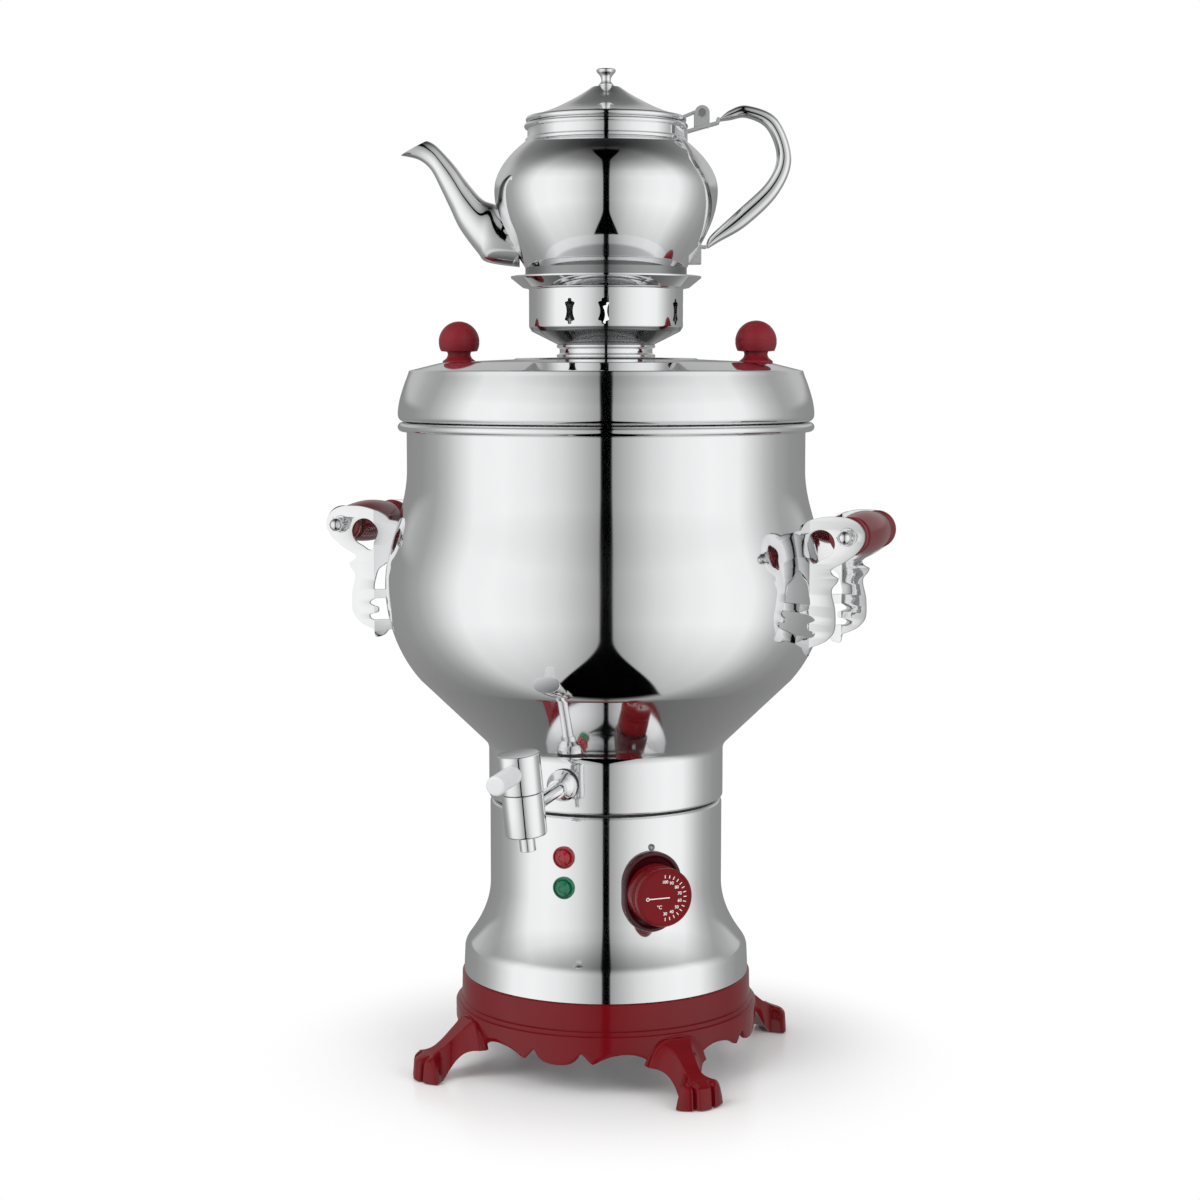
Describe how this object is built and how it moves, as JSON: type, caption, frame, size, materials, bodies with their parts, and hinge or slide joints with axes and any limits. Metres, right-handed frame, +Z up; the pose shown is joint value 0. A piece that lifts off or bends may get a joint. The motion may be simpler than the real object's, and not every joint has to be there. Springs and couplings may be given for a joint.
{
  "type": "samovar",
  "caption": "Electric samovar: a polished tank with a front tap on a casing with claw feet, pierced side handles, and a teapot kept warm on a collar on the lid.",
  "frame": {"origin": "on the samovar's axis at the level of the floor it stands on", "axes": "+Z up, -Y the way the tap points, +X towards the right side handle seen from the tap"},
  "size_m": [0.324, 0.2849, 0.5627],
  "materials": {
    "polished_steel": "mirror polished stainless sheet",
    "dark_metal": "plain zinc-plated steel",
    "base_plastic": "glossy dark red moulding",
    "knob_plastic": "glossy red moulding",
    "lid_knob_plastic": "satin red moulding",
    "grip_plastic": "glossy dark red turned grip",
    "bezel_plastic": "very dark red moulding",
    "black_rubber": "matte black",
    "red_silicone": "matte red",
    "black_plastic": "matte black",
    "brass": "turned brass",
    "white_insulator": "matte off-white",
    "lever_plastic": "satin pale grey",
    "lamp_red": "faceted clear red",
    "lamp_green": "faceted clear green"
  },
  "bodies": {
    "samovar": {"base": "base_plastic", "foot_pads": "black_rubber", "bottom_plate": "dark_metal", "tie_studs": "dark_metal", "stud_nuts": "dark_metal", "casing": "polished_steel", "seam_gasket": "black_rubber", "power_inlet": "black_plastic", "inlet_pins": "brass", "inlet_screws": "dark_metal", "terminal_block": "white_insulator", "wiring": "black_plastic", "thermostat": "dark_metal", "thermostat_screws": "dark_metal", "sensor_bulb": "brass", "bulb_clip": "polished_steel", "thermal_cutout": "white_insulator", "knob_bezel": "bezel_plastic", "dial_marker": "polished_steel", "red_lamp_lens": "lamp_red", "green_lamp_lens": "lamp_green", "lamp_bodies": "white_insulator", "lamp_clips": "polished_steel", "tank": "polished_steel", "tank_bottom": "polished_steel", "heating_element": "polished_steel", "element_bushings": "brass", "element_gaskets": "red_silicone", "element_nuts": "brass", "tap_shank": "polished_steel", "tap_flange": "polished_steel", "tap_washers": "black_rubber", "tap_nut": "brass", "tap_body": "polished_steel", "brackets_left": "polished_steel", "brackets_right": "polished_steel", "grip_left": "grip_plastic", "grip_right": "grip_plastic", "grip_rods": "dark_metal", "grip_nuts": "polished_steel"},
    "tap_handle": {"tap_plug": "white_insulator", "tap_seals": "black_rubber", "tap_cap": "polished_steel", "tap_lever": "lever_plastic"},
    "knob": {"knob": "knob_plastic", "thermostat_shaft": "polished_steel"},
    "lid": {"lid": "polished_steel", "lid_knobs": "lid_knob_plastic", "lid_knob_screws": "dark_metal", "pot_collar": "polished_steel"},
    "teapot": {"pot_body": "polished_steel", "pot_spout": "polished_steel", "pot_handle": "polished_steel", "pot_hinge_bracket": "polished_steel", "pot_handle_foot": "polished_steel", "pot_hinge_pin": "dark_metal"},
    "teapot_lid": {"pot_lid": "polished_steel", "pot_lid_tab": "polished_steel", "pot_finial": "polished_steel", "finial_nut": "dark_metal"}
  },
  "joints": [
    {"name": "tap_turn", "type": "hinge", "parent": "samovar", "child": "tap_handle", "pos_m": [0, -0.12329, 0.16448], "axis": [-0.0698, -0.0869, 0.9938], "range_deg": [0, 90]},
    {"name": "knob_turn", "type": "hinge", "parent": "samovar", "child": "knob", "pos_m": [0.04054, -0.04424, 0.11], "axis": [0.6756, -0.7373, 0], "range_deg": [0, 225]},
    {"name": "lid_lift", "type": "slide", "parent": "samovar", "child": "lid", "axis": [0, 0, 1], "range_m": [0, 0.12]},
    {"name": "teapot_lift", "type": "slide", "parent": "lid", "child": "teapot", "axis": [0, 0, 1], "range_m": [0, 0.12]},
    {"name": "teapot_lid_open", "type": "hinge", "parent": "teapot", "child": "teapot_lid", "pos_m": [0.05011, 0.01874, 0.538], "axis": [-0.3502, 0.9367, 0], "range_deg": [0, 100]}
  ]
}
